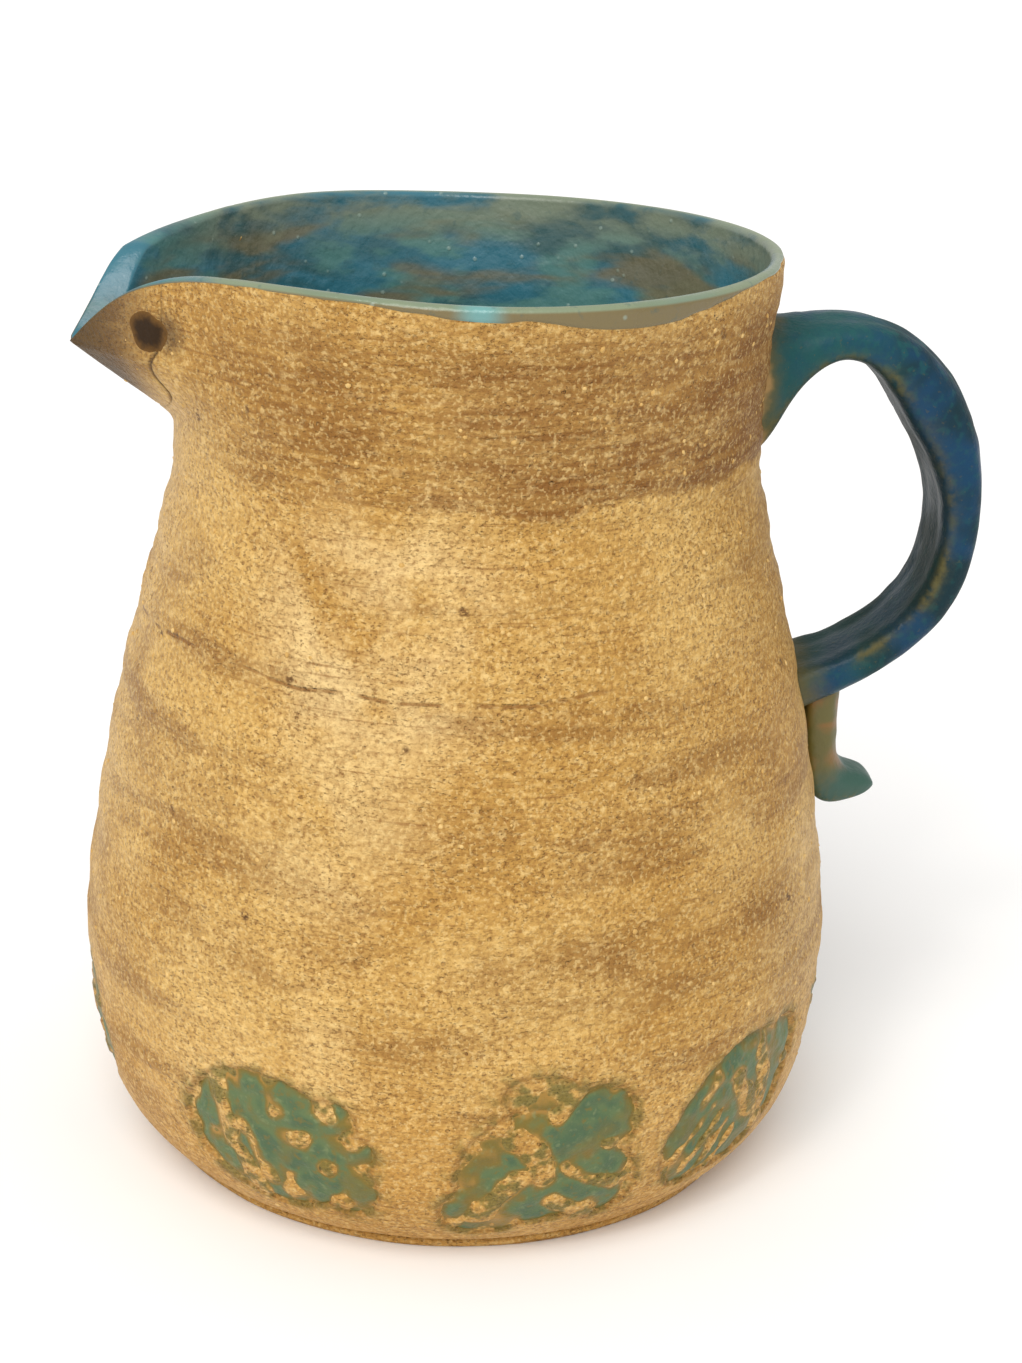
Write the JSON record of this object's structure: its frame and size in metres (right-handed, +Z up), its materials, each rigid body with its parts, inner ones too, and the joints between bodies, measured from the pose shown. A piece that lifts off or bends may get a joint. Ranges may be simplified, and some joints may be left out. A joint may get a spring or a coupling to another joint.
{
  "type": "ceramic pitcher",
  "caption": "Handmade stoneware pitcher with a wide belly, a beak-shaped pouring lip, a glazed strap handle with a tail and pressed stamps round the foot.",
  "frame": {"origin": "centre of the round foot on the surface it rests on", "axes": "+Z up, the beak points to -X and the handle to +X, the middle plane is XZ"},
  "size_m": [0.1869, 0.1592, 0.1908],
  "materials": {
    "bare_clay": "unglazed gritty buff stoneware with a brown wash",
    "inside_glaze": "satin teal and blue glaze",
    "handle_glaze": "satin dark blue glaze, thin and olive on the ridges",
    "stamp_glaze": "satin green glaze pooled in the impressions",
    "iron_spot": "dry dark iron oxide"
  },
  "bodies": {
    "root": {"base_slab": "bare_clay", "body_wall": "bare_clay", "spout": "bare_clay", "liner_glaze": "inside_glaze", "handle_strap": "handle_glaze", "handle_tail": "handle_glaze", "stamp_glaze_1": "stamp_glaze", "stamp_glaze_2": "stamp_glaze", "stamp_glaze_3": "stamp_glaze", "stamp_glaze_4": "stamp_glaze", "stamp_glaze_5": "stamp_glaze", "stamp_glaze_6": "stamp_glaze", "stamp_glaze_7": "stamp_glaze", "stamp_glaze_8": "stamp_glaze", "stamp_glaze_9": "stamp_glaze", "eye_spot_left": "iron_spot", "eye_spot_right": "iron_spot"}
  },
  "joints": []
}
